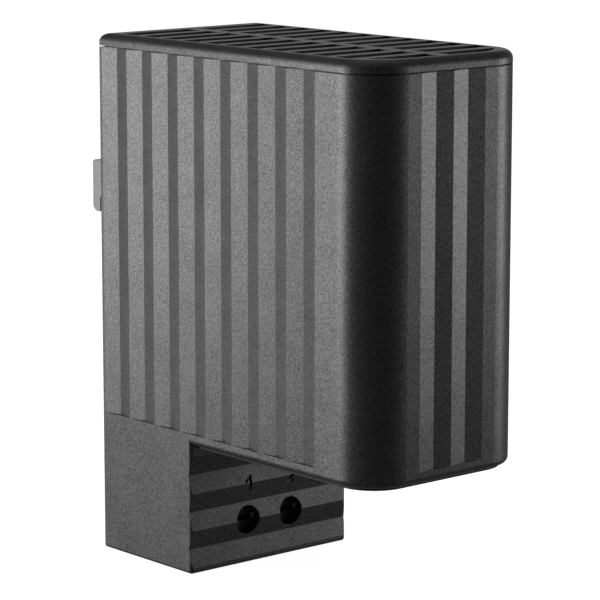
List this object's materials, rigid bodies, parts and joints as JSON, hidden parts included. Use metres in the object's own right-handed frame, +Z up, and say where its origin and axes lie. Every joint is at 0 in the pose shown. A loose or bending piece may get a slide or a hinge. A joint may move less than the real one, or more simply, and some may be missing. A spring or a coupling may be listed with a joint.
{
  "type": "enclosure heater",
  "caption": "Compact rail-mounted enclosure heater: ribbed plastic duct round a finned heating profile, slotted grille on top, terminal box with screw clamps under the rear.",
  "frame": {"origin": "centre of the rail clip's seat", "axes": "+X to the right seen from the front, +Y into the rail, +Z up"},
  "size_m": [0.038, 0.0816, 0.098],
  "materials": {
    "housing_plastic": "fine spark texture",
    "clip_plastic": "smooth satin",
    "block_plastic": "satin",
    "insulating_film": "satin film",
    "lead_silicone": "satin",
    "heating_ceramic": "matt ceramic",
    "dark_aluminium": "black anodised",
    "bare_aluminium": "mill",
    "brass": "bright",
    "zinc_steel": "bright zinc",
    "dark_steel": "black phosphated"
  },
  "bodies": {
    "heater": {"housing": "housing_plastic", "top_grille": "housing_plastic", "inlet_grille": "housing_plastic", "terminal_cover": "housing_plastic", "cover_screws": "zinc_steel", "heating_profile": "dark_aluminium", "insulating_sleeve": "insulating_film", "contact_plate_1": "brass", "contact_plate_2": "brass", "ptc_upper": "heating_ceramic", "ptc_lower": "heating_ceramic", "clamping_wedge": "bare_aluminium", "lead_1": "lead_silicone", "lead_2": "lead_silicone", "terminal_block": "block_plastic", "current_bar_1": "brass", "current_bar_2": "brass", "rail_clip": "clip_plastic", "clip_screws": "zinc_steel"},
    "screw_1": {"terminal_screw_1": "dark_steel"},
    "screw_2": {"terminal_screw_2": "dark_steel"},
    "cage_1": {"clamp_cage_1": "zinc_steel"},
    "cage_2": {"clamp_cage_2": "zinc_steel"}
  },
  "joints": [
    {"name": "screw_turn_1", "type": "hinge", "parent": "heater", "child": "screw_1", "pos_m": [-0.0052, -0.024, -0.0409], "axis": [0, 1, 0], "range_deg": [0, 1800]},
    {"name": "cage_slide_1", "type": "slide", "parent": "heater", "child": "cage_1", "axis": [0, -1, 0], "range_m": [0, 0.0025]},
    {"name": "screw_turn_2", "type": "hinge", "parent": "heater", "child": "screw_2", "pos_m": [0.0052, -0.024, -0.0409], "axis": [0, 1, 0], "range_deg": [0, 1800]},
    {"name": "cage_slide_2", "type": "slide", "parent": "heater", "child": "cage_2", "axis": [0, -1, 0], "range_m": [0, 0.0025]}
  ]
}
